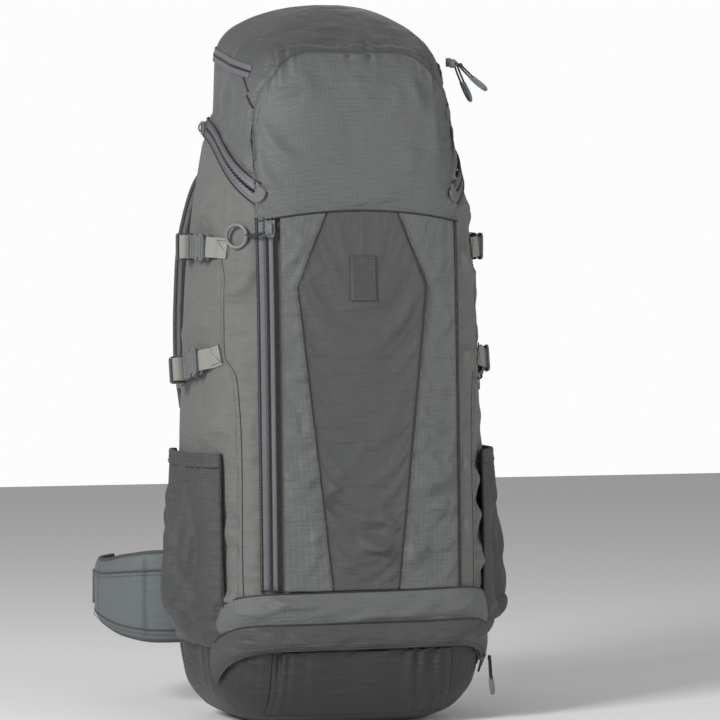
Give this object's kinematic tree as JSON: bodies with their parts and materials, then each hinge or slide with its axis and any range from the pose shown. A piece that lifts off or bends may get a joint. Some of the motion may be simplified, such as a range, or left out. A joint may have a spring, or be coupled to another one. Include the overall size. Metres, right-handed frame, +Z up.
{
  "type": "hiking backpack",
  "caption": "Tall internal-frame hiking backpack with a top lid, zipped front pocket, side compression straps, side pockets, bottom compartment, hip belt and shoulder straps.",
  "frame": {"origin": "centre of the flat base that the pack stands on", "axes": "+Z up the pack to its lid, -Y out of the front, +Y towards the wearer, +X to the right seen from the front"},
  "size_m": [0.4218, 0.4604, 0.7722],
  "materials": {
    "bag_fabric": "plain grey-green pack cloth with a fine ripstop grid",
    "ripstop": "light grey-green ripstop, slightly shiny",
    "dark_fabric": "darker ripstop",
    "base_fabric": "dark coated base cloth",
    "zip_tape": "grey-purple knitted zip tape with a coated face",
    "webbing": "light warm grey woven webbing",
    "buckle_plastic": "moulded grey-green acetal",
    "grip_plastic": "smooth grey moulded pull",
    "air_mesh": "black spacer mesh",
    "foam_pad": "cloth and mesh covered foam",
    "stay_metal": "drawn aluminium bar",
    "sheet_plastic": "black polyethylene sheet"
  },
  "bodies": {
    "bag": {"main_bag": "bag_fabric", "bottom_compartment": "base_fabric", "front_panel": "ripstop", "centre_panel": "dark_fabric", "front_zip_tape": "zip_tape", "lower_band": "bag_fabric", "storm_flap": "dark_fabric", "bottom_zip_tape": "zip_tape", "frame_sheet": "sheet_plastic", "stay_left": "stay_metal", "stay_right": "stay_metal", "hydration_sleeve": "dark_fabric", "back_panel": "air_mesh", "lumbar_pad": "foam_pad", "side_pocket_left": "dark_fabric", "side_pocket_right": "dark_fabric", "side_zip_lower_left": "zip_tape", "side_zip_lower_right": "zip_tape", "buckle_socket_upper_left": "buckle_plastic", "buckle_socket_upper_right": "buckle_plastic", "buckle_socket_lower_left": "buckle_plastic", "buckle_socket_lower_right": "buckle_plastic"},
    "lid": {"lid_shell": "bag_fabric", "lid_front_panel": "ripstop", "lid_pocket_floor": "dark_fabric", "lid_zip_tape": "zip_tape"},
    "lid_slider_front": {"lid_slider_front": "buckle_plastic"},
    "lid_slider_rear": {"lid_slider_rear": "buckle_plastic"},
    "lid_pull_front": {"lid_pull_front": "grip_plastic"},
    "lid_pull_rear": {"lid_pull_rear": "grip_plastic"},
    "front_zip_slider": {"front_zip_slider": "buckle_plastic"},
    "front_zip_pull": {"front_zip_pull": "grip_plastic"},
    "bottom_zip_slider": {"bottom_zip_slider": "buckle_plastic"},
    "bottom_zip_pull": {"bottom_zip_pull": "grip_plastic"},
    "bottom_door": {"bottom_door": "base_fabric"},
    "side_zip_slider_left": {"side_zip_slider_left": "buckle_plastic"},
    "side_zip_slider_right": {"side_zip_slider_right": "buckle_plastic"},
    "shoulder_strap_left": {"shoulder_strap_left": "foam_pad", "lower_webbing_left": "webbing", "sternum_webbing_left": "webbing", "sternum_buckle_socket": "buckle_plastic"},
    "shoulder_strap_right": {"shoulder_strap_right": "foam_pad", "lower_webbing_right": "webbing", "sternum_webbing_right": "webbing"},
    "sternum_buckle_prong": {"sternum_buckle_prong": "buckle_plastic"},
    "hip_fin_left": {"hip_fin_left": "foam_pad", "hip_webbing_left": "webbing", "hip_buckle_socket": "buckle_plastic"},
    "hip_fin_right": {"hip_fin_right": "foam_pad", "hip_webbing_right": "webbing"},
    "hip_buckle_prong": {"hip_buckle_prong": "buckle_plastic"},
    "haul_loop": {"haul_loop": "webbing"},
    "buckle_prong_upper_left": {"buckle_prong_upper_left": "buckle_plastic", "webbing_tail_upper_left": "webbing"},
    "buckle_prong_upper_right": {"buckle_prong_upper_right": "buckle_plastic", "webbing_tail_upper_right": "webbing"},
    "buckle_prong_lower_left": {"buckle_prong_lower_left": "buckle_plastic", "webbing_tail_lower_left": "webbing"},
    "buckle_prong_lower_right": {"buckle_prong_lower_right": "buckle_plastic", "webbing_tail_lower_right": "webbing"}
  },
  "joints": [
    {"name": "lid_hinge", "type": "hinge", "parent": "bag", "child": "lid", "pos_m": [0, 0.095, 0.6413], "axis": [-1, 0, 0], "range_deg": [0, 90]},
    {"name": "lid_slider_front_slide", "type": "slide", "parent": "lid", "child": "lid_slider_front", "axis": [0, -0.9815, -0.1914], "range_m": [0, 0.02]},
    {"name": "lid_slider_rear_slide", "type": "slide", "parent": "lid", "child": "lid_slider_rear", "axis": [0, 0.9815, 0.1914], "range_m": [0, 0.09]},
    {"name": "lid_pull_front_swing", "type": "hinge", "parent": "lid_slider_front", "child": "lid_pull_front", "pos_m": [0.1275, -0.044, 0.7055], "axis": [0, 1, 0], "range_deg": [-60, 30]},
    {"name": "lid_pull_rear_swing", "type": "hinge", "parent": "lid_slider_rear", "child": "lid_pull_rear", "pos_m": [0.1275, -0.031, 0.707], "axis": [0, 1, 0], "range_deg": [-60, 15]},
    {"name": "front_zip_slide", "type": "slide", "parent": "bag", "child": "front_zip_slider", "axis": [0, -0.0499, -0.9988], "range_m": [0, 0.33]},
    {"name": "front_zip_pull_swing", "type": "hinge", "parent": "front_zip_slider", "child": "front_zip_pull", "pos_m": [-0.107, -0.106, 0.525], "axis": [-0.722, -0.6919, 0], "range_deg": [-80, 10]},
    {"name": "bottom_zip_slide", "type": "hinge", "parent": "bag", "child": "bottom_zip_slider", "pos_m": [0.0743, -0.0341, 0.07], "axis": [0, 0, -1], "range_deg": [0, 19]},
    {"name": "bottom_zip_pull_swing", "type": "hinge", "parent": "bottom_zip_slider", "child": "bottom_zip_pull", "pos_m": [0.1485, -0.0745, 0.0665], "axis": [-0.5291, -0.8486, 0], "range_deg": [-10, 30]},
    {"name": "bottom_door_hinge", "type": "hinge", "parent": "bag", "child": "bottom_door", "pos_m": [0, -0.0935, 0.013], "axis": [1, 0, 0], "range_deg": [0, 60]},
    {"name": "side_zip_left_travel", "type": "hinge", "parent": "bag", "child": "side_zip_slider_left", "pos_m": [-0.13, 0.116, 0.342], "axis": [0.9963, -0.0857, 0], "range_deg": [0, 12]},
    {"name": "side_zip_right_travel", "type": "hinge", "parent": "bag", "child": "side_zip_slider_right", "pos_m": [0.13, 0.116, 0.342], "axis": [0.9963, 0.0857, 0], "range_deg": [0, 12]},
    {"name": "buckle_upper_left_release", "type": "slide", "parent": "bag", "child": "buckle_prong_upper_left", "axis": [0, 1, 0], "range_m": [0, 0.022]},
    {"name": "buckle_upper_right_release", "type": "slide", "parent": "bag", "child": "buckle_prong_upper_right", "axis": [0, 1, 0], "range_m": [0, 0.022]},
    {"name": "buckle_lower_left_release", "type": "slide", "parent": "bag", "child": "buckle_prong_lower_left", "axis": [0, 0.9781, -0.2079], "range_m": [0, 0.022]},
    {"name": "buckle_lower_right_release", "type": "slide", "parent": "bag", "child": "buckle_prong_lower_right", "axis": [0, 0.9781, -0.2079], "range_m": [0, 0.022]},
    {"name": "shoulder_strap_left_swing", "type": "hinge", "parent": "bag", "child": "shoulder_strap_left", "pos_m": [-0.054, 0.118, 0.598], "axis": [1, 0, 0], "range_deg": [0, 30]},
    {"name": "shoulder_strap_right_swing", "type": "hinge", "parent": "bag", "child": "shoulder_strap_right", "pos_m": [0.054, 0.118, 0.598], "axis": [1, 0, 0], "range_deg": [0, 30]},
    {"name": "sternum_buckle_release", "type": "slide", "parent": "shoulder_strap_right", "child": "sternum_buckle_prong", "axis": [1, 0, 0], "range_m": [0, 0.02]},
    {"name": "hip_fin_left_spread", "type": "hinge", "parent": "bag", "child": "hip_fin_left", "pos_m": [-0.108, 0.121, 0.124], "axis": [0, 0, 1], "range_deg": [0, 30]},
    {"name": "hip_fin_right_spread", "type": "hinge", "parent": "bag", "child": "hip_fin_right", "pos_m": [0.108, 0.121, 0.124], "axis": [0, 0, -1], "range_deg": [0, 30]},
    {"name": "hip_buckle_release", "type": "slide", "parent": "hip_fin_right", "child": "hip_buckle_prong", "axis": [1, 0, 0], "range_m": [0, 0.025]},
    {"name": "haul_loop_tilt", "type": "hinge", "parent": "bag", "child": "haul_loop", "pos_m": [0, 0.112, 0.612], "axis": [1, 0, 0], "range_deg": [-10, 10]}
  ],
  "couplings": [
    {"joint": "shoulder_strap_right_swing", "follows": "shoulder_strap_left_swing", "ratio": 1},
    {"joint": "hip_fin_right_spread", "follows": "hip_fin_left_spread", "ratio": 1}
  ]
}
